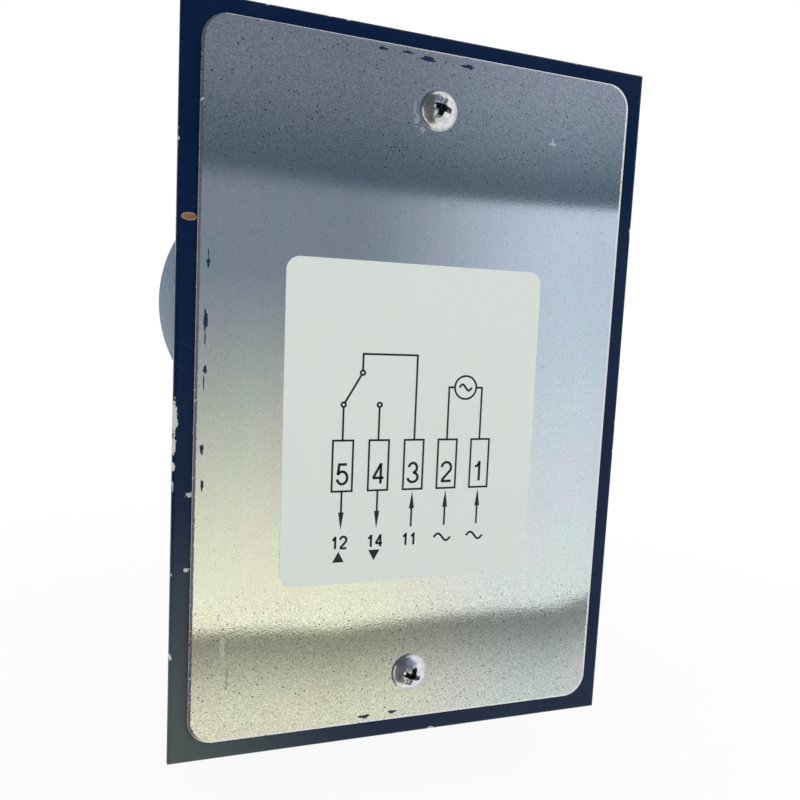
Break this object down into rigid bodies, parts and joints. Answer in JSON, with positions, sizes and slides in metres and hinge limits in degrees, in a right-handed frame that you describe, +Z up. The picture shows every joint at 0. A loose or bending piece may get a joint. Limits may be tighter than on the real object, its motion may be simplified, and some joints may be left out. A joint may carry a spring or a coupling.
{
  "type": "level switch",
  "caption": "Rotary paddle level switch: flat painted box with a screwed wiring cover, a round wall flange and a slow paddle whose blocked motor swings and trips a switch.",
  "frame": {"origin": "on the paddle shaft's axis, in the hopper side of the mounting flange", "axes": "+Y along the shaft into the hopper, +Z up, +X to the right as the cover is seen"},
  "size_m": [0.104, 0.1558, 0.1663],
  "materials": {
    "navy_paint": "semi-gloss enamel, chipped at the edges",
    "galvanised_sheet": "galvanised sheet, fine matt grain",
    "label_film": "matt printed film",
    "zinc_screw": "bright zinc plated, worn",
    "zinc_steel": "zinc plated, satin",
    "stainless": "turned or brushed stainless steel",
    "dark_steel": "blackened steel",
    "brass": "turned brass",
    "bronze": "sintered bronze",
    "rubber": "matt black rubber",
    "gasket_rubber": "grey-black sheet rubber",
    "switch_plastic": "black thermoset",
    "plunger_plastic": "red plastic",
    "block_plastic": "cream polyamide",
    "gland_plastic": "dark grey polyamide",
    "coil_winding": "enamelled copper under tape",
    "magnet": "plastic bonded ferrite"
  },
  "bodies": {
    "case": {"housing": "navy_paint", "cover_plate": "galvanised_sheet", "wiring_label": "label_film", "cover_screws": "zinc_screw", "cover_nuts": "zinc_steel", "flange": "zinc_steel", "flange_studs": "zinc_screw", "flange_gasket": "gasket_rubber", "ring_nut": "zinc_steel", "shaft_bushes": "bronze", "shaft_seal": "rubber", "base_plate": "galvanised_sheet", "base_rivets": "zinc_steel", "stop_posts": "brass", "spring_post": "brass", "return_spring": "stainless", "switch_standoffs": "brass", "switch_body": "switch_plastic", "switch_screws": "zinc_screw", "switch_terminals": "brass", "lever_pin": "stainless", "terminal_block": "block_plastic", "terminal_clamps": "brass", "terminal_screws": "zinc_screw", "block_screws": "zinc_screw", "gland_body": "gland_plastic", "gland_seal": "rubber", "gland_cap": "gland_plastic", "gland_locknut": "gland_plastic"},
    "gear_unit": {"gear_rear_plate": "zinc_steel", "gear_front_plate": "zinc_steel", "gear_spacers": "brass", "output_bearing": "bronze", "trip_pin": "stainless", "spring_pin": "stainless", "motor_can": "zinc_steel", "motor_coil": "coil_winding", "motor_screws": "zinc_screw"},
    "paddle_shaft": {"output_shaft": "stainless", "output_wheel": "brass", "shaft_clip": "dark_steel", "paddle_hub": "stainless", "paddle_vane": "stainless", "paddle_screws": "stainless", "hub_set_screw": "dark_steel"},
    "idler": {"idler_wheel": "brass", "idler_arbor": "stainless"},
    "rotor": {"rotor_magnet": "magnet", "rotor_arbor": "stainless", "rotor_pinion": "brass"},
    "lever": {"switch_lever": "stainless"},
    "plunger": {"switch_plunger": "plunger_plastic"}
  },
  "joints": [
    {"name": "motor_swing", "type": "hinge", "parent": "case", "child": "gear_unit", "pos_m": [0, -0.027, 0], "axis": [0, -1, 0], "range_deg": [0, 6], "stiffness_Nm_per_rad": 1.8, "springref_deg": -4.58, "deforming": ["return_spring"]},
    {"name": "shaft_turn", "type": "hinge", "parent": "gear_unit", "child": "paddle_shaft", "pos_m": [0, 0, 0], "axis": [0, -1, 0], "continuous": true},
    {"name": "idler_turn", "type": "hinge", "parent": "gear_unit", "child": "idler", "pos_m": [0.009, -0.03, 0.01559], "axis": [0, -1, 0], "continuous": true},
    {"name": "rotor_turn", "type": "hinge", "parent": "gear_unit", "child": "rotor", "pos_m": [0.018, -0.04, 0], "axis": [0, -1, 0], "continuous": true},
    {"name": "lever_tilt", "type": "hinge", "parent": "case", "child": "lever", "pos_m": [0.00715, -0.03465, -0.062], "axis": [0, 1, 0], "range_deg": [0, 14.2]},
    {"name": "plunger_press", "type": "slide", "parent": "case", "child": "plunger", "axis": [1, 0, 0], "range_m": [0, 0.00175]}
  ],
  "couplings": [
    {"joint": "idler_turn", "follows": "shaft_turn", "ratio": -5},
    {"joint": "rotor_turn", "follows": "shaft_turn", "ratio": 25},
    {"joint": "lever_tilt", "follows": "motor_swing", "ratio": 2.3494},
    {"joint": "plunger_press", "follows": "motor_swing", "m_per_rad": 0.016267}
  ]
}
